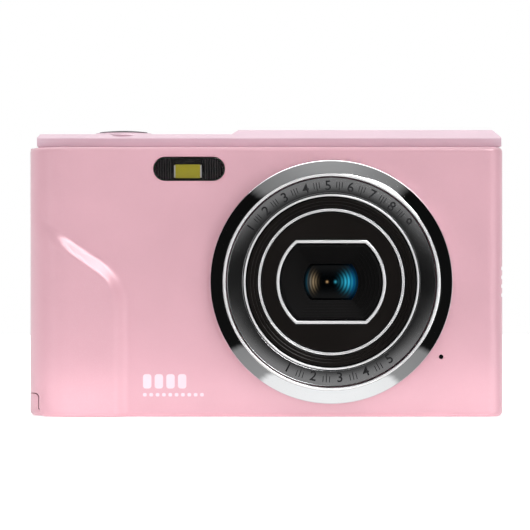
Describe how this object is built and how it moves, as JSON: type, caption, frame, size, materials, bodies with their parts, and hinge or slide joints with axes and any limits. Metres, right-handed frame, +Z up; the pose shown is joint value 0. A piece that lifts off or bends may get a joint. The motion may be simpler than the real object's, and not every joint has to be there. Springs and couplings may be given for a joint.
{
  "type": "compact digital camera",
  "caption": "Slim pocket camera with a glossy shell, raised front grip, large chrome-ringed fixed lens, flash, rear screen and keys, and a hinged battery door.",
  "frame": {"origin": "middle of the footprint, on the surface the camera stands on", "axes": "+X to the right of the front view, lens looking along -Y, +Z up"},
  "size_m": [0.0961, 0.023, 0.0581],
  "materials": {
    "pink_plastic": "pearly pink moulding with a soft gloss",
    "chrome": "mirror plating",
    "ring_coating": "dark satin coating with fine turning lines",
    "black_plastic": "satin black moulding",
    "coated_glass": "multi-coated glass with blue and orange reflections",
    "clear_plastic": "clear window with fine ribs",
    "phosphor": "yellow light-emitting die",
    "screen_glass": "black glossy display glass",
    "plated_steel": "nickel-plated steel",
    "circuit_board": "green solder mask",
    "chip_resin": "moulded black resin",
    "dome_film": "translucent film over metal domes",
    "battery_wrap": "plain wrapped cell"
  },
  "bodies": {
    "camera_body": {"front_shell": "pink_plastic", "rear_shell": "pink_plastic", "top_cover": "pink_plastic", "shutter_collar": "pink_plastic", "lens_bezel": "chrome", "lens_trim_ring": "chrome", "lens_inner_ring": "chrome", "lens_window_trim": "chrome", "flash_reflector": "chrome", "lens_mark_ring": "ring_coating", "lens_step_ring": "black_plastic", "lens_face_plate": "black_plastic", "lens_baffle": "black_plastic", "lens_barrel": "black_plastic", "lens_holder": "black_plastic", "battery_tray": "black_plastic", "contact_block": "black_plastic", "front_element": "coated_glass", "rear_element": "coated_glass", "flash_window": "clear_plastic", "flash_led": "phosphor", "screen_window": "screen_glass", "screen_panel": "screen_glass", "door_hinge_pin": "plated_steel", "tripod_nut": "plated_steel", "strap_bar": "plated_steel", "bottom_screw_left": "plated_steel", "bottom_screw_right": "plated_steel", "side_screw_left": "plated_steel", "side_screw_right": "plated_steel", "usb_connector": "plated_steel", "card_slot": "plated_steel", "speaker": "plated_steel", "microphone": "plated_steel", "shutter_switch": "plated_steel", "power_switch": "plated_steel", "main_board": "circuit_board", "sensor_board": "circuit_board", "flash_board": "circuit_board", "top_board": "circuit_board", "processor": "chip_resin", "memory_card": "chip_resin", "image_sensor": "chip_resin", "key_sheet": "dome_film", "battery": "battery_wrap"},
    "shutter": {"shutter_button": "pink_plastic"},
    "power": {"power_button": "pink_plastic"},
    "zoom": {"zoom_rocker": "pink_plastic"},
    "door_hinge_arm": {"door_carrier": "plated_steel"},
    "door": {"battery_door": "pink_plastic"},
    "up_button_body": {"up_key": "pink_plastic"},
    "down_button_body": {"down_key": "pink_plastic"},
    "left_button_body": {"left_key": "pink_plastic"},
    "right_button_body": {"right_key": "pink_plastic"},
    "ok_button_body": {"ok_key": "pink_plastic"},
    "menu_button_body": {"menu_key": "pink_plastic"},
    "playback_button_body": {"playback_key": "pink_plastic"},
    "delete_button_body": {"delete_key": "pink_plastic"},
    "mode_button_body": {"mode_key": "pink_plastic"}
  },
  "joints": [
    {"name": "shutter_press", "type": "slide", "parent": "camera_body", "child": "shutter", "axis": [0, 0, -1], "range_m": [0, 0.0008], "stiffness_N_per_m": 250},
    {"name": "power_press", "type": "slide", "parent": "camera_body", "child": "power", "axis": [0, 0, -1], "range_m": [0, 0.0005], "stiffness_N_per_m": 250},
    {"name": "zoom_rock", "type": "hinge", "parent": "camera_body", "child": "zoom", "pos_m": [-0.031, 0.01, 0.0455], "axis": [0, 0, 1], "range_deg": [-4, 4], "stiffness_Nm_per_rad": 0.02},
    {"name": "door_swing", "type": "hinge", "parent": "camera_body", "child": "door_hinge_arm", "pos_m": [-0.011, 0, 0.0012], "axis": [0, -1, 0], "range_deg": [0, 85]},
    {"name": "door_slide", "type": "slide", "parent": "door_hinge_arm", "child": "door", "axis": [-1, 0, 0], "range_m": [0, 0.0025]},
    {"name": "up_press", "type": "slide", "parent": "camera_body", "child": "up_button_body", "axis": [0, -1, 0], "range_m": [0, 0.0005], "stiffness_N_per_m": 250},
    {"name": "down_press", "type": "slide", "parent": "camera_body", "child": "down_button_body", "axis": [0, -1, 0], "range_m": [0, 0.0005], "stiffness_N_per_m": 250},
    {"name": "left_press", "type": "slide", "parent": "camera_body", "child": "left_button_body", "axis": [0, -1, 0], "range_m": [0, 0.0005], "stiffness_N_per_m": 250},
    {"name": "right_press", "type": "slide", "parent": "camera_body", "child": "right_button_body", "axis": [0, -1, 0], "range_m": [0, 0.0005], "stiffness_N_per_m": 250},
    {"name": "ok_press", "type": "slide", "parent": "camera_body", "child": "ok_button_body", "axis": [0, -1, 0], "range_m": [0, 0.0005], "stiffness_N_per_m": 250},
    {"name": "menu_press", "type": "slide", "parent": "camera_body", "child": "menu_button_body", "axis": [0, -1, 0], "range_m": [0, 0.0005], "stiffness_N_per_m": 250},
    {"name": "playback_press", "type": "slide", "parent": "camera_body", "child": "playback_button_body", "axis": [0, -1, 0], "range_m": [0, 0.0005], "stiffness_N_per_m": 250},
    {"name": "delete_press", "type": "slide", "parent": "camera_body", "child": "delete_button_body", "axis": [0, -1, 0], "range_m": [0, 0.0005], "stiffness_N_per_m": 250},
    {"name": "mode_press", "type": "slide", "parent": "camera_body", "child": "mode_button_body", "axis": [0, -1, 0], "range_m": [0, 0.0005], "stiffness_N_per_m": 250}
  ]
}
